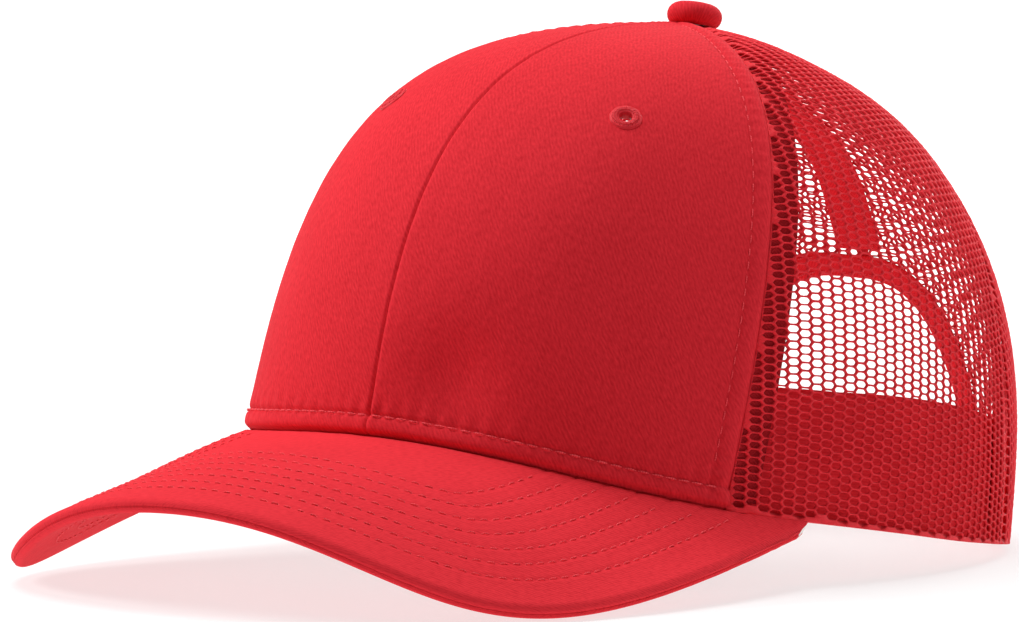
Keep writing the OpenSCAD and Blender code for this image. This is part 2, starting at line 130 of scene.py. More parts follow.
def ease(t, v):
    """How far the soft crown stands out from its drawn shape, in mm: broad hollows and swells."""
    s = (t + 180) % 360 - 180
    back = np.clip((np.abs(s) - 62) / 10, 0, 1)
    loose = np.clip(v / 0.12, 0, 1) * np.clip((0.95 - v) / 0.2, 0, 1)
    front = (
        -2.8 * bump(s, 14, 8) * bump(v, 0.085, 0.065) * np.clip(v / 0.03, 0, 1)
        + 0.7 * bump(s, 30, 12) * bump(v, 0.3, 0.16)
        + 0.5 * bump(s, -22, 14) * bump(v, 0.35, 0.2)
        - 0.5 * bump(s, 46, 8) * bump(v, 0.45, 0.2)
    )
    net = 0.45 * np.sin(np.radians(s * 5.3 + 40)) * np.sin(v * 9 + 0.8 * np.sin(np.radians(s * 2)))
    return (1 - back) * front + back * loose * net


def layer(t, v, d):
    """A point d below the crown's soft outer face."""
    t, v = np.broadcast_arrays(np.asarray(t, float), np.asarray(v, float))
    return crown(t, v) + (ease(t, v) - np.asarray(d))[..., None] * outward(t, v)


def keen(x):
    """Squares off the arch's outline."""
    return np.sign(x) * np.abs(x) ** (2 / ARCH_POWER)


def arch_ring(angle, grown):
    """The edge of the back opening, or a line that far out from it, as a share of its binding."""
    per_degree = np.linalg.norm(crown(155.5, 0.0) - crown(154.5, 0.0))
    half = ARCH_HALF + grown * BINDING_WIDTH / per_degree
    t = 180 + ARCH_LEAN * keen(np.sin(angle)) - half * keen(np.cos(angle))
    return t, (ARCH_SHARE + grown * 0.042) * keen(np.sin(angle))


def seam_deg(v):
    return FRONT_SEAM + SEAM_SWING * 2 * v * (1 - v)


def visor_edge(s):
    s = np.asarray(s, float)
    a = np.abs(s)[..., None]
    b, side, zero = 1 - a, np.where(s < 0, -1.0, 1.0), np.zeros(s.shape)
    q = [
        np.stack([zero, zero - VISOR_REACH, zero + VISOR_FRONT_Z], -1),
        np.stack([62 * side, zero - VISOR_REACH, zero + VISOR_FRONT_Z], -1),
        np.stack([65 * side, zero - 136.6, zero - 41.7], -1),
        np.stack([98.5 * side, zero - 138, zero - 30.8], -1),
        rim(side * VISOR_ROOT),
    ]
    return b**4 * q[0] + 4 * a * b**3 * q[1] + 6 * a * a * b * b * q[2] + 4 * a**3 * b * q[3] + a**4 * q[4]


def visor(s, w):
    """The visor's upper face: s from -1 to 1 across it, w from 0 at the crown to 1 at its edge."""
    s, w = np.broadcast_arrays(np.asarray(s, float), np.asarray(w, float))
    inner = rim(s * VISOR_ROOT)
    dome = 2.6 * 4 * w * (1 - w) * bump(s, -0.5, 0.45)
    return inner + (visor_edge(s) - inner) * w[..., None] + dome[..., None] * np.array([0, 0, 1.0])


def visor_up(s, w):
    k = np.maximum(w, 0)
    return -unit(np.cross(visor(s + 0.005, k) - visor(s - 0.005, k), visor(s, k + 0.01) - visor(s, k - 0.01)))


def place(p):
    """From the wearer's frame in mm to the row frame in metres."""
    c, s = math.cos(REST_TILT), math.sin(REST_TILT)
    x, y, z = p[..., 0], p[..., 1], p[..., 2]
    return np.stack([x, y * c + z * s + REST_SHIFT, z * c - y * s + REST_LIFT], -1) / 1000


# ---- meshes ----


def mesh_object(name, points, faces, material, uv, extra=None):
    """points in mm, faces as a list of index arrays, uv and extra per point."""
    points = np.asarray(points, float).reshape(-1, 3)
    faces = [np.asarray(f, np.int32) for f in faces if len(f)]
    loops = np.concatenate([f.ravel() for f in faces])
    counts = np.concatenate([np.full(len(f), f.shape[1]) for f in faces])
    starts = np.concatenate([[0], np.cumsum(counts)[:-1]]).astype(np.int32)
    me = bpy.data.meshes.new(name)
    me.vertices.add(len(points))
    me.vertices.foreach_set("co", place(points).astype(np.float32).ravel())
    me.loops.add(len(loops))
    me.loops.foreach_set("vertex_index", loops)
    me.polygons.add(len(counts))
    me.polygons.foreach_set("loop_start", starts)
    me.polygons.foreach_set("use_smooth", np.full(len(counts), True))
    me.update(calc_edges=True)
    cloth = me.uv_layers.new(name="cloth")
    cloth.data.foreach_set("uv", np.asarray(uv, np.float32).reshape(-1, 2)[loops].ravel())
    for key, value in (extra or {}).items():
        channel = me.attributes.new(key, "FLOAT", "POINT").data
        channel.foreach_set("value", np.asarray(value, np.float32).ravel())
    ob = bpy.data.objects.new(name, me)
    bpy.context.scene.collection.objects.link(ob)
    ob.data.materials.append(material)
    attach(ob, "cap")
    return ob


def walls(faces, offset):
    """Quads that close the border of a sheet whose other side's points come offset later."""
    a = np.concatenate([f[:, i] for f in faces for i in range(f.shape[1])])
    b = np.concatenate([f[:, (i + 1) % f.shape[1]] for f in faces for i in range(f.shape[1])])
    big = int(max(a.max(), b.max())) + 1
    there, back = a.astype(np.int64) * big + b, b.astype(np.int64) * big + a
    border = ~np.isin(there, back)
    a, b = a[border], b[border]
    return np.stack([b, a, a + offset, b + offset], -1)


def grid_quads(nu, nv, closed=False):
    i, j = np.meshgrid(np.arange(nu if closed else nu - 1), np.arange(nv - 1), indexing="ij")
    k = (i + 1) % nu
    return np.stack([i * nv + j, k * nv + j, k * nv + j + 1, i * nv + j + 1], -1).reshape(-1, 4)


def shell(name, outer, inner, material, uv, keep=None, flip=False, extra=None):
    """Closed cloth between two grids of points; keep says which cells are there."""
    nu, nv = outer.shape[:2]
    quads = grid_quads(nu, nv)
    if keep is not None:
        quads = quads[keep.ravel()]
    if flip:
        quads = quads[:, ::-1]
    n = nu * nv
    points = np.concatenate([outer.reshape(-1, 3), inner.reshape(-1, 3)])
    faces = [quads, quads[:, ::-1] + n, walls([quads], n)]
    both = np.concatenate([uv.reshape(-1, 2)] * 2)
    more = {k: np.concatenate([a.ravel(), b.ravel()]) for k, (a, b) in (extra or {}).items()}
    used = np.zeros(2 * n, bool)
    for f in faces:
        used[f.ravel()] = True
    index = np.cumsum(used) - 1
    return mesh_object(
        name, points[used], [index[f] for f in faces], material, both[used],
        {k: a[used] for k, a in more.items()},
    )


def spread(n, density):
    """n + 1 shares from 0 to 1, closer together where density is higher."""
    x = np.linspace(0, 1, 2001)
    c = np.concatenate([[0], np.cumsum((density(x[1:]) + density(x[:-1])) / 2)])
    return np.interp(np.linspace(0, c[-1], n + 1), c, x)


def run_length(p, axis):
    """Distance along a grid of points, from the first, along one axis."""
    step = np.linalg.norm(np.diff(p, axis=axis), axis=-1)
    pad = [(0, 0)] * step.ndim
    pad[axis] = (1, 0)
    return np.pad(np.cumsum(step, axis=axis), pad)


def thread(lines, radius, stitch, gap, rise=0.16, jitter=0.12):
    """Stitches along lines of (points, normals), as small round threads that dive in at their ends."""
    sides, rings = 6, 4
    share = np.array([0, 0.28, 0.72, 1])
    swell = np.array([0.45, 1, 1, 0.45])
    height = np.array([-1.3, 0.75, 0.75, -1.3]) * radius + rise * np.array([0, 1, 1, 0])
    all_points, all_faces, along, base = [], [], [], 0
    for points, normals in lines:
        d = run_length(points, 0)
        count = int((d[-1] - 0.4) / (stitch + gap))
        if count < 1:
            continue
        start = 0.2 + (stitch + gap) * np.arange(count) + jitter * rng.uniform(-1, 1, count)
        at = start[:, None] + share * (stitch + jitter * rng.uniform(-1, 1, count))[:, None]
        p = np.stack([np.interp(at, d, points[:, k]) for k in range(3)], -1)
        n = unit(np.stack([np.interp(at, d, normals[:, k]) for k in range(3)], -1))
        along_dir = unit(p[:, -1:] - p[:, :1])
        across = unit(np.cross(n, along_dir))
        p = p + across * (rng.uniform(-1, 1, count) * 0.06)[:, None, None]
        angle = np.arange(sides) / sides * 2 * math.pi
        size = radius * swell
        ring = (
            p[:, :, None]
            + n[:, :, None] * height[None, :, None, None]
            + across[:, :, None] * (size[:, None] * np.cos(angle))[None, :, :, None]
            + n[:, :, None] * (size[:, None] * np.sin(angle) * 0.8)[None, :, :, None]
        )
        quads = grid_quads(sides, rings, closed=True)
        order = np.arange(sides * rings).reshape(rings, sides).T.ravel()
        first = np.arange(count)[:, None, None] * (sides * rings) + base
        all_points.append(ring.reshape(-1, 3))
        all_faces.append((order[quads][None] + first).reshape(-1, 4))
        caps = np.stack([np.arange(sides), (np.arange(sides) + sides * (rings - 1))[::-1]])
        all_faces.append((caps[None] + first).reshape(-1, sides))
        along.append(np.repeat(np.tile(share * stitch, count), sides))
        base += count * sides * rings
    return np.concatenate(all_points), all_faces, np.concatenate(along)


def stitches(name, lines, material, **look):
    points, faces, along = thread(lines, **look)
    uv = np.stack([np.zeros(len(along)), along], -1)
    return mesh_object(name, points, faces, material, uv)


def crown_line(t, v, d):
    """Points and outward normals along a line on the crown, d below its face."""
    t, v = np.broadcast_arrays(np.asarray(t, float), np.asarray(v, float))
    return layer(t, v, d), outward(t, v)


# ---- materials ----


SHEEN = {"Sheen_Roughness": 0.4, "Sheen_Tint": (1, 0.25, 0.3, 1)}


class Graph:
    """A Principled material built node by node."""

    def __init__(self, name, **surface):
        self.material = bpy.data.materials.new(name)
        self.material.use_nodes = True
        self.tree = self.material.node_tree
        self.shader = self.tree.nodes["Principled BSDF"]
        for key, value in surface.items():
            self.shader.inputs[key.replace("_", " ")].default_value = value

    def node(self, kind, out=0, settings=None, **inputs):
        n = self.tree.nodes.new(kind)
        for key, value in (settings or {}).items():
            setattr(n, key, value)
        for key, value in inputs.items():
            numbered = key[0] == "i" and key[1:].isdigit()
            slot = n.inputs[int(key[1:]) if numbered else key.replace("_", " ")]
            if isinstance(value, bpy.types.NodeSocket):
                self.tree.links.new(value, slot)
            else:
                slot.default_value = value
        return n.outputs[out]

    def math(self, how, a, b=0.0, c=0.0):
        return self.node("ShaderNodeMath", settings={"operation": how}, i0=a, i1=b, i2=c)

    def blend(self, *parts):
        """The sum of some values, each times its weight."""
        total = self.math("MULTIPLY", *parts[0])
        for value, weight in parts[1:]:
            total = self.math("ADD", total, self.math("MULTIPLY", value, weight))
        return total

    def wave(self, phase):
        """A sine from 0 to 1."""
        return self.math("MULTIPLY_ADD", self.math("SINE", phase), 0.5, 0.5)

    def coordinates(self):
        xyz = self.tree.nodes.new("ShaderNodeSeparateXYZ")
        uv = self.tree.nodes.new("ShaderNodeUVMap")
        uv.uv_map = "cloth"
        self.tree.links.new(uv.outputs[0], xyz.inputs[0])
        return xyz.outputs[0], xyz.outputs[1]

    def vector(self, x, y):
        return self.node("ShaderNodeCombineXYZ", i0=x, i1=y)

    def noise(self, vector, scale, detail=2.0, roughness=0.5):
        return self.node("ShaderNodeTexNoise", Vector=vector, Scale=scale, Detail=detail, Roughness=roughness)

    def attribute(self, name):
        n = self.tree.nodes.new("ShaderNodeAttribute")
        n.attribute_name = name
        return n.outputs["Fac"]

    def ramp(self, fac, stops):
        n = self.tree.nodes.new("ShaderNodeValToRGB")
        e = n.color_ramp.elements
        for i, (at, colour) in enumerate(stops):
            item = e[i] if i < 2 else e.new(at)
            item.position, item.color = at, (*colour, 1)
        self.tree.links.new(fac, n.inputs[0])
        return n.outputs[0]

    def shade(self, colour, fac):
        """Darkens a colour by a factor from 0 to 1."""
        return self.node(
            "ShaderNodeMix", out=2, settings={"data_type": "RGBA", "blend_type": "MULTIPLY"},
            i0=1.0, i6=colour, i7=self.node("ShaderNodeCombineColor", i0=fac, i1=fac, i2=fac),
        )

    def relief(self, height, distance, strength=1.0):
        self.tree.links.new(
            self.node("ShaderNodeBump", Height=height, Distance=distance / 1000, Strength=strength),
            self.shader.inputs["Normal"],
        )

    def finish(self, colour, roughness=None):
        self.tree.links.new(colour, self.shader.inputs["Base Color"])
        if roughness is not None:
            self.tree.links.new(roughness, self.shader.inputs["Roughness"])
        return self.material


def twill_material(name, dark, light, lean=34.0, pitch=0.85, rib_share=0.12):
    """Cotton twill: short broken streaks along a steep wale, on a softly mottled ground."""
    g = Graph(name, Sheen_Weight=0.05, Specular_IOR_Level=0.1, **SHEEN)
    x, y = g.coordinates()
    c, s = math.cos(math.radians(lean)), math.sin(math.radians(lean))
    across, along = g.blend((x, c), (y, s)), g.blend((y, c), (x, -s))
    wander = g.noise(g.vector(g.math("MULTIPLY", across, 0.5), g.math("MULTIPLY", along, 0.25)), 1.0, 2.0)
    rib = g.wave(g.blend((across, 2 * math.pi / pitch), (wander, 9.0)))
    stretched = g.vector(g.math("MULTIPLY", across, 1.6 / pitch), g.math("MULTIPLY", along, 0.62))
    streak = g.noise(stretched, 1.0, 1.5, 0.5)
    grain = g.noise(g.vector(x, y), 2.6, 2.0, 0.7)
    cloud = g.noise(g.vector(x, y), 0.045, 3.0, 0.55)
    # a per-point painted highlight makes the cloth paler along the hem's roll, the seams' edges and the
    # visor's lip
    tone = g.blend((streak, 0.75), (rib, rib_share), (grain, 0.14), (cloud, 0.2), (g.attribute("painted_highlight"), 0.2))
    colour = g.ramp(g.math("SUBTRACT", tone, 0.1), [(0.32, dark), (0.72, light)])
    g.relief(g.blend((streak, 1.0), (rib, rib_share * 2), (grain, 0.3)), 0.09, 0.5)
    return g.finish(colour, g.math("MULTIPLY_ADD", streak, -0.15, 0.9))


def net_material(name, dark, light):
    """Knitted polyester: slightly glossy filaments that run along the bars."""
    g = Graph(name, Sheen_Weight=0.06, Specular_IOR_Level=0.15, **SHEEN)
    x, y = g.coordinates()
    strand = g.noise(g.vector(g.math("MULTIPLY", x, 1.4), g.math("MULTIPLY", y, 3.2)), 1.6, 2.0, 0.6)
    cloud = g.noise(g.vector(x, y), 0.06, 2.0)
    # painted light and shade: the net's outer, raised points are coloured lighter and its inner side darker
    tone = g.blend((strand, 0.7), (cloud, 0.3), (g.attribute("painted_light_by_height"), 0.25))
    g.relief(strand, 0.1, 0.5)
    return g.finish(g.ramp(tone, [(0.3, dark), (0.85, light)]), g.math("MULTIPLY_ADD", strand, 0.25, 0.42))


def tape_material(name, dark, light):
    """Herringbone tape; x runs across it and y along it. A per-point factor darkens its outer side, a painted
    shade where it lies under the net.
    """
    g = Graph(name, Sheen_Weight=0.05, Specular_IOR_Level=0.1, **SHEEN)
    x, y = g.coordinates()
    fold = g.math("PINGPONG", g.math("ADD", x, 40.0), 1.6)
    weave = g.wave(g.math("MULTIPLY", g.math("ADD", y, fold), 2 * math.pi / 0.9))
    grain = g.noise(g.vector(x, y), 1.8, 3.0, 0.6)
    tone = g.blend((weave, 0.4), (grain, 0.6))
    colour = g.shade(g.ramp(tone, [(0.2, dark), (0.85, light)]), g.attribute("painted_shade_factor"))
    g.relief(g.math("ADD", weave, grain), 0.12, 0.6)
    return g.finish(colour, g.math("MULTIPLY_ADD", grain, 0.2, 0.72))


def brushed_material(name, dark, light):
    """Brushed cotton with a fine horizontal line in the cloth."""
    g = Graph(name, Sheen_Weight=0.08, Specular_IOR_Level=0.1, **SHEEN)
    x, y = g.coordinates()
    rows = g.wave(g.math("MULTIPLY", y, 2 * math.pi / 0.8))
    nap = g.noise(g.vector(g.math("MULTIPLY", x, 0.8), y), 1.3, 4.0, 0.65)
    cloud = g.noise(g.vector(x, y), 0.05, 2.0)
    tone = g.blend((rows, 0.18), (nap, 0.6), (cloud, 0.25))
    g.relief(g.blend((rows, 0.4), (nap, 1.0)), 0.15, 0.5)
    return g.finish(g.ramp(tone, [(0.25, dark), (0.85, light)]), g.math("MULTIPLY_ADD", nap, 0.15, 0.78))


def weave_material(name, dark, light):
    """Plain open weave for the buckram."""
    g = Graph(name, Specular_IOR_Level=0.3)
    x, y = g.coordinates()
    over = g.math("SINE", g.math("MULTIPLY", x, 2 * math.pi / 0.9))
    under = g.math("SINE", g.math("MULTIPLY", y, 2 * math.pi / 0.9))
    weave = g.math("MULTIPLY_ADD", g.math("MULTIPLY", over, under), 0.5, 0.5)
    grain = g.noise(g.vector(x, y), 1.2, 3.0)
    tone = g.blend((weave, 0.55), (grain, 0.45))
    g.relief(weave, 0.12, 0.7)
    return g.finish(g.ramp(tone, [(0.15, dark), (0.8, light)]), g.math("MULTIPLY_ADD", grain, 0.15, 0.7))


def thread_material(name, dark, light):
    """Twisted polyester thread; y runs along each stitch."""
    g = Graph(name, Sheen_Weight=0.04, Specular_IOR_Level=0.2, **SHEEN)
    y = g.coordinates()[1]
    twist = g.wave(g.math("MULTIPLY", y, 2 * math.pi / 0.55))
    where = g.node("ShaderNodeTexCoord", out=3)
    patch = g.noise(where, 260.0, 2.0)
    tone = g.blend((twist, 0.4), (patch, 0.6))
    g.relief(twist, 0.08, 0.6)
    return g.finish(g.ramp(tone, [(0.2, dark), (0.75, light)]), g.math("MULTIPLY_ADD", patch, 0.2, 0.4))


def solid_material(name, dark, light, scale, roughness, bump_mm, **surface):
    """Moulded plastic or plain metal: a fine grain over the whole part."""
    g = Graph(name, **surface)
    where = g.node("ShaderNodeTexCoord", out=3)
    grain, cloud = g.noise(where, scale, 3.0, 0.6), g.noise(where, scale / 25, 2.0)
    tone = g.blend((grain, 0.5), (cloud, 0.5))
    g.relief(grain, bump_mm, 0.4)
    return g.finish(g.ramp(tone, [(0.3, dark), (0.7, light)]), g.math("MULTIPLY_ADD", cloud, 0.2, roughness))


TWILL_CLOTH = twill_material("twill_cloth", (0.60, 0.014, 0.023), (0.78, 0.026, 0.040))
VISOR_CLOTH_RED = twill_material("visor_twill", (0.64, 0.016, 0.027), (0.82, 0.030, 0.044), 48.0, 0.7, 0.25)
NET_CLOTH = net_material("net_yarn", (0.62, 0.013, 0.023), (0.97, 0.031, 0.046))
# the tape and sweatband reds are paler than the twill's: painted light that makes up for the shade inside the
# crown
TAPE_CLOTH_PAINTED_LIGHTER = tape_material("seam_tape", (0.78, 0.018, 0.030), (0.96, 0.036, 0.050))
BAND_CLOTH_PAINTED_LIGHTER = brushed_material("sweatband_cotton", (0.78, 0.018, 0.030), (0.98, 0.040, 0.055))
BUCKRAM_CLOTH = weave_material("buckram_weave", (0.55, 0.53, 0.48), (0.82, 0.80, 0.75))
THREAD = thread_material("sewing_thread", (0.66, 0.026, 0.040), (0.96, 0.085, 0.105))
FINE_THREAD = thread_material("fine_thread", (0.78, 0.030, 0.045), (0.98, 0.085, 0.105))
EYELET_THREAD = thread_material("embroidery_thread", (0.58, 0.012, 0.021), (0.84, 0.028, 0.043))
PLASTIC = solid_material("strap_plastic", (0.46, 0.008, 0.018), (0.58, 0.014, 0.028), 900.0, 0.36, 0.03)
BOARD = solid_material("board_plastic", (0.72, 0.71, 0.67), (0.84, 0.83, 0.80), 500.0, 0.5, 0.05)
STEEL = solid_material(
    "stamped_steel", (0.45, 0.45, 0.46), (0.62, 0.62, 0.63), 1200.0, 0.3, 0.02, Metallic=1.0
)

# ---- camera, floor and lights ----


def basis(azimuth, elevation, roll):
    """The camera's right, up and back directions."""
    a, e, r = math.radians(azimuth), math.radians(elevation), math.radians(roll)
    back = Vector((math.sin(a) * math.cos(e), -math.cos(a) * math.cos(e), math.sin(e)))
    level = Vector((math.cos(a), math.sin(a), 0))
    up = back.cross(level)
    right = level * math.cos(r) + up * math.sin(r)
    return right, back.cross(right), back


CAMERA_DISTANCE = 2.6705
right, up, back = basis(37.7531, 4.8662, 0.2723)
centre = Vector((0, 0.0348577, 0.060269))
aim = centre - right * 0.02669 - up * 0.00251
camera_data = bpy.data.cameras.new("camera")
camera_data.lens, camera_data.sensor_width = 397.3, 36
camera_data.clip_start, camera_data.clip_end = 0.1, 60
camera = bpy.data.objects.new("camera", camera_data)
bpy.context.scene.collection.objects.link(camera)
camera.matrix_world = Matrix(
    ((right.x, up.x, back.x, 0), (right.y, up.y, back.y, 0), (right.z, up.z, back.z, 0), (0, 0, 0, 1))
)
camera.location = aim + back * CAMERA_DISTANCE
bpy.context.scene.camera = camera
bpy.context.scene.view_settings.view_transform = "Standard"


def area_light(name, to_right, to_up, to_back, size, watts):
    """A soft round light aimed at the cap, placed in metres from it along the camera's directions."""
    data = bpy.data.lights.new(name, "AREA")
    data.shape, data.size, data.energy = "DISK", size, watts
    ob = bpy.data.objects.new(name, data)
    bpy.context.scene.collection.objects.link(ob)
    ob.location = centre + right * to_right + up * to_up + back * to_back
    ob.rotation_euler = (centre - ob.location).to_track_quat("-Z", "Y").to_euler()


area_light("key", -1.75, 1.2, -0.35, 0.9, 27)
area_light("fill", 1.9, 0.6, -0.45, 1.2, 10)
area_light("top", -0.2, 1.9, -0.1, 1.4, 31)
area_light("behind", 0.9, 0.9, -1.5, 1.2, 13)

world = bpy.data.worlds.new("studio")
bpy.context.scene.world = world
world.use_nodes = True
world.node_tree.nodes["Background"].inputs[0].default_value = (1, 1, 1, 1)
world.node_tree.nodes["Background"].inputs[1].default_value = 0.15


def make_floor():
    """A wide pale floor with a very faint unevenness, which the cap stands on. It glows, less near the cap,
    and so lights the cap from below.
    """
    n, half = 41, 14.0
    line = np.sign(np.linspace(-1, 1, n)) * np.linspace(-1, 1, n) ** 2 * half
    x, y = np.meshgrid(line, line, indexing="ij")
    me = bpy.data.meshes.new("floor")
    points = np.stack([x, y, 0 * x - 0.0002], -1).reshape(-1, 3)
    me.from_pydata(points.tolist(), [], grid_quads(n, n).tolist())
    me.update()
    ob = bpy.data.objects.new("floor", me)
    bpy.context.scene.collection.objects.link(ob)
    g = Graph("floor_paper", Roughness=0.9, Specular_IOR_Level=0.1)
    g.shader.inputs["Emission Color"].default_value = (1, 1, 1, 1)
    where = g.node("ShaderNodeTexCoord", out=3)
    away = g.node("ShaderNodeVectorMath", out=1, settings={"operation": "LENGTH"}, i0=where)
    glow = g.math("MINIMUM", g.math("MULTIPLY_ADD", away, 0.3, 0.66), 1.02)  # paler far from the cap
    g.tree.links.new(glow, g.shader.inputs["Emission Strength"])
    g.finish(g.ramp(g.noise(where, 3.0), [(0.3, (0.30, 0.30, 0.30)), (0.7, (0.34, 0.34, 0.34))]))
    ob.data.materials.append(g.material)


make_floor()

# ---- front panels and their buckram ----

HEM = 4.6  # from the hem's edge up to its line of stitching


def front_grid(side, nu, nv, low, high, inset):
    """Azimuths, shares and distances in mm: from the middle seam, from the side seam, above the rim."""
    u = spread(nu, lambda x: 1 + 5 * bump(x, 0, 0.03) + 5 * bump(x, 1, 0.09))
    w = spread(nv, lambda x: 1 + 5 * bump(x, 0, 0.04))
    u, w = inset[0] + u * (inset[1] - inset[0]), low + w * (high - low)
    u, v = np.meshgrid(u, w, indexing="ij")
    t = side * seam_deg(v) * u
    p = crown(t, v)
    x = run_length(p, 0)
    return t, v, x, x[-1:] - x, run_length(p, 1)


def near_eyelet(p, side, radius):
    middle = crown(side * EYELET_T, EYELET_V)
    cell = (p[:-1, :-1] + p[1:, :-1] + p[1:, 1:] + p[:-1, 1:]) / 4
    return np.linalg.norm(cell - middle, axis=-1) < radius


def front_panel(side, word):
    t, v, x, far, h = front_grid(side, 104, 170, 0.0015, PANEL_TOP, (0, 1))
    middle = -0.55 * bump(x, 0, 0.5) * (1 - 0.55 * bump(h, 2.0, 3.0))
    middle = middle + 0.22 * np.clip(1 - x / 6.5, 0, 1) ** 0.5 * (x < 6.5)
    pucker = 0.16 * np.sin(h * 2 * math.pi / 3.4 + 1.3 * np.sin(h / 9)) * bump(far, 4.2, 2.4)
    edge = -1.1 * bump(far, 0, 0.9) - 0.32 * bump(far, 5.6, 0.55) + 0.25 * bump(far, 3.0, 2.0)
    hem = (
        0.6 * np.clip(np.sin(np.clip(h / HEM, 0, 1) * math.pi), 0, 1) ** 0.7
        - 0.38 * bump(h, HEM + 0.2, 0.6)
        - 1.1 * bump(h, 0, 0.8)
        + 0.22 * np.sin(x * 2 * math.pi / 5.1 + 2 * np.sin(x / 13)) * bump(h, HEM + 1.5, 2.6)
    )
    ripple = 0.05 * np.sin(x * 0.9 + 3 * np.sin(h * 0.11)) * np.sin(h * 0.37 + x * 0.05)
    out = middle + (pucker + edge) * np.clip(h / 6, 0, 1) + hem + ripple
    # painted highlight: paler on the hem's roll and beside both seams, on the outer face only
    painted_highlight = 0.5 * bump(h, 2.2, 1.3) + 0.3 * bump(far, 2.6, 1.0) + 0.35 * bump(x, 0.9, 0.5)
    outer, inner = layer(t, v, -out), layer(t, v, TWILL - np.minimum(out, 0.35))
    ob = shell(
        f"twill_front_{word}", outer, inner, TWILL_CLOTH,
        np.stack([x * side, h], -1), keep=~near_eyelet(crown(t, v), side, 2.1),
        flip=side < 0, extra={"painted_highlight": (painted_highlight, 0 * painted_highlight)},
    )
    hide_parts(f"front_panel_{word}")


def front_buckram(side, word):
    t, v, x, _, h = front_grid(side, 44, 60, 0.045, 0.936, (0.012, 0.975))
    ob = shell(
        f"buckram_{word}", layer(t, v, BUCKRAM_OUT), layer(t, v, BUCKRAM_IN), BUCKRAM_CLOTH,
        np.stack([x * side, h], -1), keep=~near_eyelet(crown(t, v), side, 2.7), flip=side < 0,
    )
    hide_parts(f"front_buckram_{word}")


for side, word in ((1, "left"), (-1, "right")):
    front_panel(side, word)
    front_buckram(side, word)

# ---- the net ----

PITCH, ROW = 3.3, 1.95  # between columns of holes, and between holes in a column
HOLE_X, HOLE_Y = 1.45, 0.75
ZIGZAG = 0.40
RING = np.array([  # round one cell from its lower right corner: half pitches, quarter rows
    (1, -2), (1, -1), (1, 0), (1, 1), (1, 2), (0, 2), (-1, 2), (-1, 1), (-1, 0), (-1, -1), (-1, -2), (0, -2),
])
HOLE = np.array([
    (0.60, -0.94), (0.84, -0.5), (1, 0), (0.84, 0.5), (0.60, 0.94), (0, 1),
    (-0.60, 0.94), (-0.84, 0.5), (-1, 0), (-0.84, -0.5), (-0.60, -0.94), (0, -1),
])


class Panel:
    """Maps a flat net onto one crown panel: x along the level from its middle, y up from the rim."""

    def __init__(self, side, middle, low_t, high_t, arch):
        self.side, self.arch = side, arch
        self.v = np.linspace(0, PANEL_TOP, 260)
        self.t = middle + np.arange(-50, 66, 0.5)
        p = crown(side * self.t[None, :], self.v[:, None])
        x = run_length(p, 1)
        zero = np.argmin(np.abs(self.t - middle))
        self.x = x - x[:, zero : zero + 1]
        self.y = run_length(p[:, zero], 0)
        self.low = np.array([np.interp(low_t(v), self.t, row) for v, row in zip(self.v, self.x)])
        self.high = np.array([np.interp(high_t(v), self.t, row) for v, row in zip(self.v, self.x)])

    def ends(self, y):
        return np.interp(y, self.y, self.low), np.interp(y, self.y, self.high)

    def held(self, x, y, margin, bottom):
        """Moves points that lie past the panel's edge back onto it, short of it by margin."""
        y = np.clip(y, bottom, self.y[-1])
        low, high = self.ends(y)
        x = np.clip(x, low + margin, np.maximum(high - margin, low + margin))
        if self.arch:
            t, v = self.at(x, y)
            r = self.from_arch(t, v) / (1 + margin / 42)
            inside = r < 1
            r = np.maximum(r, 0.3)
            v2 = np.where(inside, v / r, v)
            t2 = np.where(inside, 180 - (180 - t) / r, t)
            row = np.interp(v2, self.v, np.arange(len(self.v)))
            x = np.where(inside, self.level(row, t2), x)
            y = np.where(inside, np.interp(v2, self.v, self.y), y)
        return x, y

    def from_arch(self, t, v):
        """1 on the edge of the back opening, less inside it."""
        across = (180 - t + self.side * ARCH_LEAN * v / ARCH_SHARE) / ARCH_HALF
        return (np.abs(across) ** ARCH_POWER + (v / ARCH_SHARE) ** ARCH_POWER) ** (1 / ARCH_POWER)

    def level(self, row, t):
        i = np.clip(row.astype(int), 0, len(self.v) - 2)
        f, c = row - i, (t - self.t[0]) / 0.5
        j = np.clip(c.astype(int), 0, len(self.t) - 2)
        g = c - j
        lower = self.x[i, j] * (1 - g) + self.x[i, j + 1] * g
        upper = self.x[i + 1, j] * (1 - g) + self.x[i + 1, j + 1] * g
        return lower * (1 - f) + upper * f

    def at(self, x, y):
        """Azimuth, counted towards the back on this side, and share."""
        row = np.interp(y, self.y, np.arange(len(self.v)))
        i = np.clip(row.astype(int), 0, len(self.v) - 2)
        f = (row - i)[:, None]
        line = self.x[i] * (1 - f) + self.x[i + 1] * f
        j = np.clip((line < x[:, None]).sum(1) - 1, 0, len(self.t) - 2)
        k = np.arange(len(x))
        g = (x - line[k, j]) / (line[k, j + 1] - line[k, j])
        return self.t[j] + 0.5 * g, np.interp(y, self.y, self.v)


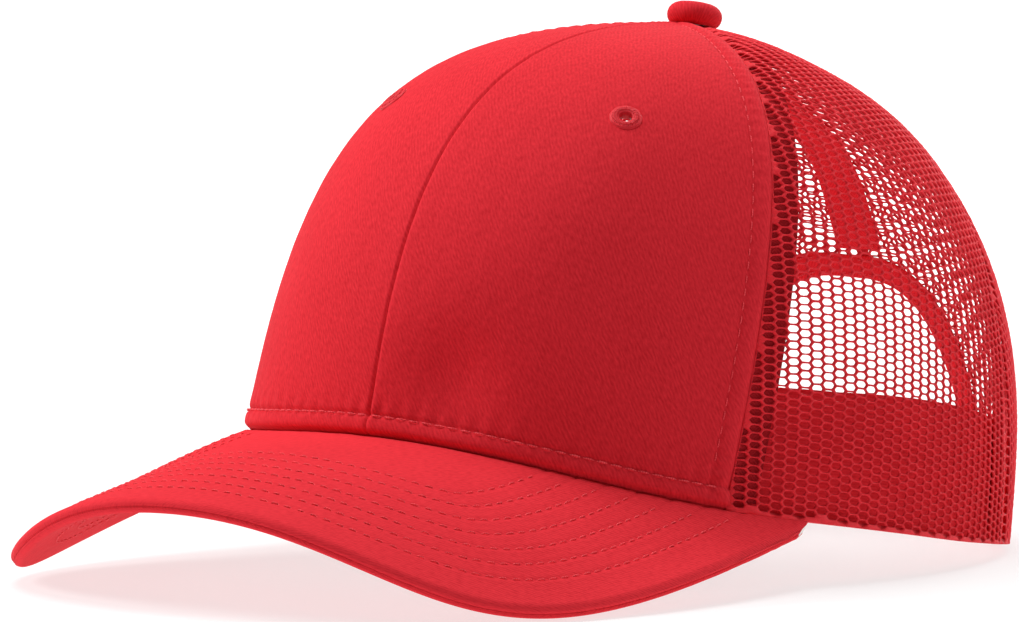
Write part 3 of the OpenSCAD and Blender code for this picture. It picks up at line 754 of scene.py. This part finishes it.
def net_panel(name, node, side, middle, low_t, high_t, arch=False):
    panel = Panel(side, middle, low_t, high_t, arch)
    wide = int(max(-panel.low.min(), panel.high.max()) / PITCH) + 3
    tall = int(panel.y[-1] / ROW) + 3
    col, row = np.meshgrid(np.arange(-wide, wide + 1), np.arange(-1, tall), indexing="ij")
    col, row = col.ravel(), row.ravel()
    cx, cy = 2 * col + 1, 4 * row + 2 * (col % 2)
    ix, iy = cx[:, None] + RING[None, :, 0], cy[:, None] + RING[None, :, 1]

    # shared points round the cells
    key = (ix + 4000) * 100000 + (iy + 4000)
    keys, where = np.unique(key.ravel(), return_inverse=True)
    ring = where.reshape(key.shape)
    gx, gy = keys // 100000 - 4000, keys % 100000 - 4000
    on_line = gx % 2 == 0
    column = gx // 2 - 1
    zig = np.where(on_line, np.cos(math.pi / 2 * (gy - 2 * (column % 2))), 0)
    wob = rng.uniform(-1, 1, (len(keys), 3))
    px = gx * PITCH / 2 + ZIGZAG * zig + 0.05 * wob[:, 0]
    py = gy * ROW / 4 + 0.04 * wob[:, 1]
    inside_y = (py > -ROW) & (py < panel.y[-1] + ROW)
    low, high = panel.ends(np.clip(py, 0, panel.y[-1]))
    inside = inside_y & (px > low) & (px < high) & (py > 0) & (py < panel.y[-1])
    if arch:
        t, v = panel.at(px, np.clip(py, 0, panel.y[-1]))
        inside &= panel.from_arch(t, v) > 1
    keep = inside[ring].any(1)
    ring, cx, cy = ring[keep], cx[keep], cy[keep]
    px, py = panel.held(px, py, 0.0, 0.0)

    # a hole's points are its own
    n = len(ring)
    size = 1 + 0.07 * rng.uniform(-1, 1, (n, 1))
    hx = cx[:, None] * PITCH / 2 + HOLE[None, :, 0] * HOLE_X * size + 0.05 * rng.uniform(-1, 1, (n, 12))
    hy = cy[:, None] * ROW / 4 + HOLE[None, :, 1] * HOLE_Y * size + 0.04 * rng.uniform(-1, 1, (n, 12))
    hx, hy = panel.held(hx.ravel(), hy.ravel(), 0.55, 1.1)
    hx, hy = hx.reshape(n, 12), hy.reshape(n, 12)
    turn = np.roll(hx, -1, 1) * hy - hx * np.roll(hy, -1, 1)
    area = np.abs(turn.sum(1)) / 2
    open_ = (area > 0.9) & (np.ptp(hx, axis=1) > 0.7) & (np.ptp(hy, axis=1) > 0.6)
    solid = ~open_

    used, flat = np.unique(ring, return_inverse=True)
    ring = flat.reshape(ring.shape)
    px, py, on_line, wob = px[used], py[used], on_line[used], wob[used]
    m = len(used)
    bars = np.where(on_line, 0.48, 0.28) + 0.05 * wob[:, 2]
    holes, fills = int(open_.sum()), int(solid.sum())
    hole_id = 2 * m + np.arange(holes * 12).reshape(holes, 12)
    fill_id = 2 * m + holes * 12 + np.arange(fills)

    o = ring[open_]
    up_faces = np.stack([o, np.roll(o, -1, 1), np.roll(hole_id, -1, 1), hole_id], -1).reshape(-1, 4)
    s = ring[solid]
    fan = np.stack([s, np.roll(s, -1, 1), np.repeat(fill_id[:, None], 12, 1)], -1).reshape(-1, 3)
    corners = px[fan[:, 0]], py[fan[:, 0]], px[fan[:, 1]], py[fan[:, 1]]
    fan = fan[np.hypot(corners[0] - corners[2], corners[1] - corners[3]) > 1e-6]

    # drop slivers where two shared points were moved onto the same place
    def whole(f):
        a, b = f[:, 0], f[:, 1]
        return f[np.hypot(px[a] - px[b], py[a] - py[b]) > 1e-6]

    up_faces = whole(up_faces)
    down_faces = np.where(up_faces < m, up_faces + m, up_faces)[:, ::-1]
    fan_down = np.where(fan < m, fan + m, fan + fills)[:, ::-1]
    top_faces = [f for f in (up_faces, fan) if len(f)]
    a = np.concatenate([f[:, i] for f in top_faces for i in range(f.shape[1])])
    b = np.concatenate([f[:, (i + 1) % f.shape[1]] for f in top_faces for i in range(f.shape[1])])
    shared = (a < m) & (b < m)
    a, b = a[shared].astype(np.int64), b[shared].astype(np.int64)
    border = ~np.isin(a * (m + 1) + b, b * (m + 1) + a)
    a, b = a[border], b[border]
    side_walls = np.stack([b, a, a + m, b + m], -1)

    fx = px[ring[solid]].mean(1) if fills else np.zeros(0)
    fy = py[ring[solid]].mean(1) if fills else np.zeros(0)
    x = np.concatenate([px, px, hx[open_].ravel(), fx, fx])
    y = np.concatenate([py, py, hy[open_].ravel(), fy, fy])
    mid = NET / 2
    flat_parts = [np.full(holes * 12, -0.03), np.full(fills, 0.3), np.full(fills, -0.3)]
    lift = np.concatenate([bars, -0.85 * bars, *flat_parts])
    low, high = panel.ends(np.clip(y, 0, panel.y[-1]))
    pull = 0.9 * bump(x - low, 0, 1.3) + 0.9 * bump(high - x, 0, 1.3) * (0 if arch else 1)
    t, v = panel.at(x, np.clip(y, 0, panel.y[-1]))
    if arch:
        pull = pull + 0.9 * bump(high - x, 0, 1.3) * (v > ARCH_SHARE)
    points = layer(side * t, v, mid - lift + pull)
    faces = [up_faces, down_faces, fan, fan_down, side_walls]
    if side < 0:
        faces = [f[:, ::-1] for f in faces]
    # painted light and shade: lighter on the net's outer face, darker on its inner face, by how far each
    # point stands out
    painted_light_by_height = np.clip(lift / 0.4, -1, 1)
    ob = mesh_object(name, points, faces, NET_CLOTH, np.stack([x * side, y], -1), {"painted_light_by_height": painted_light_by_height})
    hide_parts(node)


for side, word in ((1, "left"), (-1, "right")):
    net_panel(f"net_side_{word}", f"side_mesh_{word}", side, 89.0, seam_deg, lambda v: BACK_SEAM)
    net_panel(
        f"net_back_{word}", f"back_mesh_{word}", side, 146.0, lambda v: BACK_SEAM, lambda v: 180.0, arch=True,
    )

# ---- tapes and the binding of the back opening ----


def tape_along(name, node, t_of, v, across, tone, width):
    """A tape whose middle follows t_of(v); across gives the azimuth of one millimetre. tone darkens the
    tape's outer side, a painted shade where it lies under the net.
    """
    k = np.linspace(-1, 1, 13)
    kk, vv = np.meshgrid(k, v, indexing="ij")
    mm = kk * width / 2
    t = t_of(vv) + np.clip(mm * across(vv), -24, 24)
    edge = np.clip((1 - np.abs(kk)) / 0.12, 0, 1)
    swell = 0.12 * np.cos(kk * math.pi / 2) - 0.14 * bump(np.abs(kk), 0.72, 0.07)
    h = run_length(crown(t_of(v), v), 0)
    wave = 0.05 * np.sin(h[None, :] * 1.9 + 2 * kk)
    outer = layer(t, vv, TAPE_OUT + 0.16 * (1 - edge) - 0.1 * swell)
    inner = layer(t, vv, TAPE_IN - 0.16 * (1 - edge) + swell + wave)
    uv = np.stack([mm, np.broadcast_to(h, mm.shape)], -1)
    # painted shade on the outer side only; the inner side keeps its colour
    painted_shade_factor = np.full(mm.shape, tone), np.ones(mm.shape)
    ob = shell(name, outer, inner, TAPE_CLOTH_PAINTED_LIGHTER, uv, extra={"painted_shade_factor": painted_shade_factor})
    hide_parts(node)
    lines = []
    for row in (-0.72, 0.72):
        tt = t_of(v) + np.clip(row * width / 2 * across(v), -24, 24)
        p, out = crown_line(tt, v, TAPE_IN - 0.02)
        lines.append((p, -out))
    return lines


def per_mm(t_of):
    """The azimuth of one millimetre along the level, at share v on the line t_of(v)."""
    def across(v):
        t = t_of(v)
        return 1 / np.maximum(np.linalg.norm(crown(t + 0.5, v) - crown(t - 0.5, v), axis=-1), 0.12)
    return across


tape_lines = []
for name, t_of, low in (
    ("centre_seam_tape", lambda v: 0 * v, TAPE_LOW),
    ("front_seam_tape_left", seam_deg, TAPE_LOW),
    ("front_seam_tape_right", lambda v: -seam_deg(v), TAPE_LOW),
    ("back_seam_tape_left", lambda v: BACK_SEAM + 0 * v, TAPE_LOW),
    ("back_seam_tape_right", lambda v: -BACK_SEAM + 0 * v, TAPE_LOW),
    ("rear_seam_tape", lambda v: 180 + 0 * v, REAR_TAPE_LOW),
):
    # tone is a painted shade on each tape's outer side under the net, darkest beside the front seams
    tone, width = (0.55, FRONT_TAPE_WIDTH) if "front" in name else (0.8, TAPE_WIDTH)
    v = np.linspace(low, TAPE_TOP, 90)
    tape_lines += tape_along(
        name.replace("seam_tape", "tape_cloth"), name, t_of, v, per_mm(t_of), tone, width
    )

a = np.linspace(0, math.pi, 120)
k = np.linspace(0, 1, 11)
aa, kk = np.meshgrid(a, k, indexing="ij")
t, v = arch_ring(aa, kk)
turned = bump(kk, 0, 0.10)
crest = 0.25 * np.cos((kk - 0.5) * math.pi) - 0.16 * bump(kk, 0.2, 0.06) - 0.16 * bump(kk, 0.84, 0.06)
uv = np.stack([kk * BINDING_WIDTH, run_length(crown(t, v), 0)], -1)
# the binding's outer side gets the same painted shade, 0.8, as the tapes
binding = shell(
    "opening_binding_cloth", layer(t, v, TAPE_OUT - 0.5 * turned), layer(t, v, TAPE_IN + crest),
    TAPE_CLOTH_PAINTED_LIGHTER, uv, flip=True, extra={"painted_shade_factor": (np.full(t.shape, 0.8), np.ones(t.shape))},
)
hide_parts("opening_binding")
for share in (0.2, 0.84):
    t, v = arch_ring(a, share)
    p, out = crown_line(t, v, TAPE_IN + 0.05)
    tape_lines.append((p, -out))
stitches("tape_stitches", tape_lines, THREAD, radius=0.17, stitch=2.3, gap=0.6)

# ---- sweatband ----

half_turn = 180 - ARCH_HALF
band_t = np.linspace(-half_turn, half_turn, 330)
band_v = [0.0, 0.003, 0.007, 0.012, *np.linspace(0.019, 0.117, 17), 0.122, 0.1265, 0.1292, BAND_SHARE]
t, v = np.meshgrid(band_t, band_v, indexing="ij")
band_height = 0.963 + 0.085 * np.clip((np.abs(t) - 76) / 34, 0, 1)  # the band is a little higher behind
v = v * band_height
x, h = run_length(crown(t, v), 0), run_length(crown(t, v), 1)
clear = 1 - np.clip(1 - np.abs(np.abs(t) - 149) / 9, 0, 1)
flare = (1.95 * np.clip(1 - h / 4.2, 0, 1) ** 1.6) * clear
touch = 1.15 * bump(h, 17.0, 2.6) * (bump(np.abs(t), 90, 17) + bump(np.abs(t), 133, 6))
top = h.max(1, keepdims=True)
round_out = 0.65 * np.clip(1 - (top - h) / 0.8, 0, 1) ** 2
pad = 0.22 * np.sin(np.clip(h / top, 0, 1) * math.pi)
wrinkle = 0.12 * np.sin(x / 5.7 + 2 * np.sin(x / 31)) * np.sin(np.clip(h / top, 0, 1) * math.pi)
outer = layer(t, v, BAND_OUT - flare - touch + round_out)
sewn = 0.5 * bump(h, 3.4, 0.6) + 0.4 * bump(top - h, 2.6, 0.5)
inner = layer(t, v, BAND_IN + pad + wrinkle - round_out - sewn)
band = shell("sweatband_cloth", outer, inner, BAND_CLOTH_PAINTED_LIGHTER, np.stack([x, h], -1))
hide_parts("sweatband")
band_lines = []
for level in (0.0235, 0.113):
    p, out = crown_line(band_t, level * band_height[:, 0], BAND_IN + 0.02)
    band_lines.append((p, -out))
stitches("sweatband_stitches", band_lines, THREAD, radius=0.17, stitch=2.6, gap=0.7)

# ---- visor ----

VISOR_ROWS = 11.2 + 6.05 * np.arange(7)  # each row of stitching, from the edge
STITCH_DEPTH = 0.17
outline = visor_edge(np.linspace(-1, 1, 1201))


def to_outline(p):
    """Distance from each point to the visor's outline, in mm."""
    out = np.empty(p.shape[:-1])
    for i in range(len(p)):
        d = p[i][:, None] - outline[None]
        out[i] = np.sqrt((d * d).sum(-1).min(1))
    return out


def visor_cloth(name, node, columns, rows, sign):
    """One cloth of the visor: sign 1 above, -1 below."""
    s = np.linspace(-VISOR_END, VISOR_END, columns)
    edge_mm = np.array([0, 0.03, 0.12, 0.3, 0.55, 0.85, 1.2, 1.6, 2.1, 2.7, 3.4])
    whole = np.linalg.norm(visor_edge(s) - rim(s * VISOR_ROOT), axis=-1)
    lip = np.minimum(edge_mm[None, :] / whole[:, None], np.linspace(0, 0.5, len(edge_mm))[None, :])
    run = np.linspace(0, 1, rows)[None, 1:] * (1 - lip[:, -1:]) + lip[:, -1:]
    w = 1 - np.concatenate([lip, run], 1)
    ss = np.broadcast_to(s[:, None], w.shape)
    p = visor(ss, w)
    e = to_outline(p)
    h = (1 - w) * whole[:, None]
    half = VISOR_THICKNESS / 2
    nose = np.clip(half - np.minimum(h, e * 1.02 + 0.02), 0, half)
    round_edge = half - np.sqrt(np.maximum(half**2 - nose**2, 0))
    quilt = np.zeros(w.shape)
    for offset in VISOR_ROWS:
        quilt += 0.22 * bump(e, offset, 0.6) - 0.06 * bump(e, offset - 1.3, 0.8)
    ripple = 0.05 * np.sin(ss * 61 + e * 0.5) * np.sin(e * 0.33 + ss * 9)
    face = round_edge + (quilt + ripple) * np.clip((e - 3) / 3, 0, 1)
    inside = VISOR_CLOTH + (half - VISOR_CLOTH) * np.clip((2.5 - h) / 1.4, 0, 1)
    inside = np.maximum(inside, face + 0.02)
    up = visor_up(ss, w)
    edge = visor_edge(s)
    run_on = np.gradient(edge[:, :2], axis=0)
    forward = unit(np.stack([run_on[:, 1], -run_on[:, 0]], -1))  # out from the outline, seen from above
    forward *= np.sign(((edge - rim(s * VISOR_ROOT))[:, :2] * forward).sum(-1, keepdims=True))
    groove = 0.4 * bump(face, half, 0.4)  # where the two cloths are sewn together

    def at(depth):
        d = depth if sign > 0 else VISOR_THICKNESS - depth
        grid = p - d[..., None] * up
        grid[..., :2] -= groove[..., None] * forward[:, None]
        out = outward(s * VISOR_ROOT, 0 * s)
        out[:, 2] = 0
        turn_in = VISOR_TURN_IN * unit(out)[:, None] * np.array([0.5, 1.0])[None, :, None]
        turned = rim(s * VISOR_ROOT)[:, None] - turn_in
        level = d[:, -1:, None] * up[:, -1:]
        return np.concatenate([grid, turned - level], 1)

    def more(a):
        return np.concatenate([a, a[:, -1:], a[:, -1:]], 1)

    outer, inner = at(face), at(inside)
    rolled = p[..., :2] + round_edge[..., None] * forward[:, None]
    uv = np.stack([more(rolled[..., 0]), -more(rolled[..., 1])], -1)
    # painted highlight: paler at the visor's lip and towards both its sides
    painted_highlight = more(0.55 * bump(h, 0.4, 0.9) + 0.12 * bump(np.abs(ss), 0.6, 0.3))
    ob = shell(
        name, outer, inner, VISOR_CLOTH_RED, uv, flip=sign < 0, extra={"painted_highlight": (painted_highlight, 0 * painted_highlight)}
    )
    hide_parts(node)

    fine = np.linspace(-VISOR_END, VISOR_END, 501)
    wf = np.linspace(0, 1, 161)
    fs, fw = np.meshgrid(fine, wf, indexing="ij")
    fe = to_outline(visor(fs, fw))
    lines = []
    for offset in VISOR_ROWS:
        there = fe[:, 0] > offset + 0.4
        if not there.any():
            continue
        first, last = np.flatnonzero(there)[[0, -1]]
        cols = np.arange(first, last + 1)
        at_w = np.array([np.interp(-offset, -fe[i], wf) for i in cols])
        n = visor_up(fine[cols], at_w) * sign
        depth = STITCH_DEPTH if sign > 0 else VISOR_THICKNESS - STITCH_DEPTH
        lines.append((visor(fine[cols], at_w) - depth * visor_up(fine[cols], at_w), n))
    return lines


visor_lines = visor_cloth("visor_cloth_top", "visor_top_fabric", 230, 104, 1)
visor_lines += visor_cloth("visor_cloth_under", "visor_under_fabric", 160, 60, -1)
stitches("visor_stitches", visor_lines, FINE_THREAD, radius=0.17, stitch=2.6, gap=0.7, rise=0.12)

# ---- topstitching on the crown ----

SEAM_STITCH = 5.6  # from the side seam to its line of stitching
hem_lines, seam_lines = [], []
for side in (1, -1):
    t = np.linspace(0.4, FRONT_SEAM - 0.6, 120) * side
    rise = np.linalg.norm(crown(t, 0.03) - crown(t, 0.0), axis=-1) / 0.03
    p, out = crown_line(t, (HEM + 0.2) / rise, 0.0)
    hem_lines.append((p + 0.12 * out, out))
    v = np.linspace(0.04, 0.95, 160)
    t = seam_deg(v) - SEAM_STITCH * per_mm(seam_deg)(v)
    p, out = crown_line(t * side, v, 0.30)
    seam_lines.append((p, out))
stitches("hem_stitches", hem_lines, THREAD, radius=0.2, stitch=2.7, gap=0.6, rise=0.2)
stitches("seam_topstitches", seam_lines, FINE_THREAD, radius=0.15, stitch=2.7, gap=0.6, rise=0.10)

# ---- top button ----


def top_frame(points):
    """From a frame standing on the crown's top, leaning back with it, to the wearer's frame."""
    lean = math.radians(-3.0)
    c, s = math.cos(lean), math.sin(lean)
    x, y, z = points[..., 0], points[..., 1], points[..., 2]
    return np.stack([x, y * c - z * s + TOP_BACK, y * s + z * c + CROWN_HEIGHT], -1)


profile = np.array([  # radius and height, from the middle of the top to the turned-in foot
    (0.0, 5.42), (1.3, 5.40), (2.7, 5.31), (4.0, 5.10), (5.0, 4.72), (5.8, 4.12), (6.35, 3.35), (6.6, 2.5),
    (6.6, 1.7), (6.42, 0.9), (6.05, 0.25), (5.5, -0.25), (4.7, -0.3),
])
turns = np.arange(72) / 72 * 2 * math.pi
r, z = profile[:, 0][None], profile[:, 1][None]
under = np.clip((3.2 - z) / 3.2, 0, 1)
gather = 0.03 * under * np.sin(turns * 14 + 2 * np.sin(turns * 3))[:, None]
wide = r + gather + 0.04 * np.sin(turns * 3)[:, None] * np.clip(r / 6, 0, 1)


def lathe(radius, height):
    height = np.broadcast_to(height, radius.shape)
    return np.stack([radius * np.cos(turns)[:, None], radius * np.sin(turns)[:, None], height], -1)


def lathe_faces(rows):
    """Rings of points joined all round; the first ring is a single point repeated, so it is a fan."""
    quads = grid_quads(len(turns), rows, closed=True)
    first = quads[:, 0] % rows == 0
    fan = quads[first]
    return [quads[~first], np.stack([fan[:, 0] * 0, fan[:, 2], fan[:, 3]], -1)]


rows = len(profile)
outer = lathe(np.maximum(wide, 0), z)
inner = lathe(np.maximum(wide - 0.6 * np.clip(r / 3, 0, 1), 0), np.where(z > 1.0, z - 0.6, z))
n = len(turns) * rows
down = lathe_faces(rows)
ring = np.arange(len(turns)) * rows + rows - 1
after = np.roll(ring, -1)
points = top_frame(np.concatenate([outer.reshape(-1, 3), inner.reshape(-1, 3)]))
foot = np.stack([ring, ring + n, after + n, after], -1)
faces = down + [f[:, ::-1] + n for f in down] + [foot]
swept = run_length(np.stack([r + 0 * wide, z + 0 * wide, 0 * wide], -1), 1)
uv = np.stack([swept * np.cos(turns)[:, None], swept * np.sin(turns)[:, None]], -1)
button = mesh_object(
    "button_cloth", points, [f[:, ::-1] for f in faces], TWILL_CLOTH,
    np.concatenate([uv.reshape(-1, 2)] * 2), {"painted_highlight": np.zeros(2 * n)},
)
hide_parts("button_cover")

# ---- eyelets ----


EYELET_STITCHES = 46
CROWN_BEND = 150.0  # twice the crown's radius of curvature beside an eyelet


def eyelet(side, word):
    middle, n = layer(side * EYELET_T, EYELET_V, 0), outward(side * EYELET_T, EYELET_V)
    a = unit(np.cross(np.array([0, 0, 1.0]), n))
    b = np.cross(n, a)
    low = -BUCKRAM_IN - 0.35
    ring = np.array([  # radius and height round the section of the stitched ring
        (1.5, 0.28), (1.75, 0.5), (2.5, 0.56), (3.2, 0.5), (3.75, 0.3), (3.9, 0.02), (2.4, -0.1),
        (2.05, -0.3), (2.05, low + 0.3), (2.4, low + 0.12), (3.7, low - 0.02), (3.6, low - 0.35),
        (2.8, low - 0.5), (1.75, low - 0.42), (1.5, low - 0.2),
    ])
    turns = np.arange(56) / 56 * 2 * math.pi
    radius = ring[:, 0][None] + 0.03 * np.sin(turns * 9)[:, None]
    drop = radius**2 / CROWN_BEND  # the crown curves away under the ring
    height = ring[:, 1][None] - drop
    points = (
        middle
        + (radius * np.cos(turns)[:, None])[..., None] * a
        + (radius * np.sin(turns)[:, None])[..., None] * b
        + height[..., None] * n
    )
    rows = len(ring)
    i, j = np.meshgrid(np.arange(len(turns)), np.arange(rows), indexing="ij")
    i2, j2 = (i + 1) % len(turns), (j + 1) % rows
    quads = np.stack([i * rows + j, i * rows + j2, i2 * rows + j2, i2 * rows + j], -1).reshape(-1, 4)
    uv = np.stack([np.broadcast_to(turns[:, None] * 3, radius.shape), radius], -1)
    ob = mesh_object(f"eyelet_ring_{word}", points.reshape(-1, 3), [quads], EYELET_THREAD, uv)
    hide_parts(f"eyelet_{word}")
    lines = []
    for k in range(EYELET_STITCHES):
        q = 2 * math.pi * k / EYELET_STITCHES
        out = math.cos(q) * a + math.sin(q) * b
        for face, sign in ((0.40, 1), (low - 0.36, -1)):
            r = np.linspace(1.35, 4.05, 9)
            p = middle + r[:, None] * out + (face - r**2 / CROWN_BEND)[:, None] * n
            lines.append((p, np.broadcast_to(sign * n, p.shape)))
    stitches(
        f"eyelet_stitches_{word}", lines, EYELET_THREAD,
        radius=0.24, stitch=2.05, gap=0.15, rise=0.1, jitter=0.08,
    )


eyelet(1, "left")
eyelet(-1, "right")

# ---- CAD pieces that stay ----

for node, material in (
    ("peg_strap", PLASTIC), ("hole_strap", PLASTIC), ("peg_strap_tab", PLASTIC), ("hole_strap_tab", PLASTIC),
    ("visor_board", BOARD), ("button_shell", STEEL), ("button_tack", STEEL),
):
    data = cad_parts[node].data
    data.materials.clear()
    data.materials.append(material)
